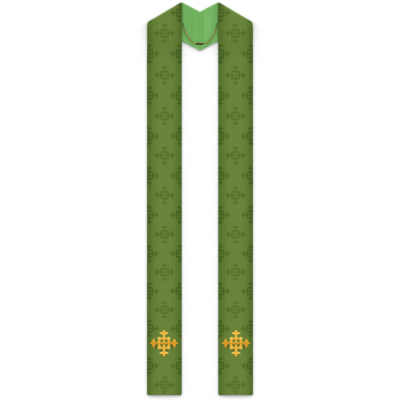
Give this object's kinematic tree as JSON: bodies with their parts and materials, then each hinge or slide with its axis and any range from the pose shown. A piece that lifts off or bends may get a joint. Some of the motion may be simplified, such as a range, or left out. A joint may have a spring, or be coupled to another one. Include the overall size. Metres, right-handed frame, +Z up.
{
  "type": "clerical stole",
  "caption": "Long lined damask stole laid flat, folded at the shoulders, with a mitred neck, a fine neck chain with a screw clasp and a raised gold cross above each hem.",
  "frame": {"origin": "middle of the underside: halfway between the fronts, halfway from hem to shoulder fold, on the surface it lies on", "axes": "+Y from the hems to the shoulders, +X to the right as seen from above, +Z up off the surface"},
  "size_m": [0.3622, 1.3376, 0.0083],
  "materials": {
    "damask": "olive-green damask with a tone-on-tone woven cross, soft satin sheen",
    "lining": "plain bright-green satin lining",
    "gold_thread": "satin-stitched gold rayon thread",
    "copper": "antique copper plate, worn bright on the links",
    "dark_copper": "darkened copper plate"
  },
  "bodies": {
    "root": {"face_left": "damask", "face_right": "damask", "lining_left": "lining", "lining_right": "lining", "cross_left": "gold_thread", "cross_right": "gold_thread", "chain_left": "copper", "chain_right": "copper", "chain_clasp": "dark_copper", "chain_eye_left": "copper", "chain_eye_right": "copper"}
  },
  "joints": []
}
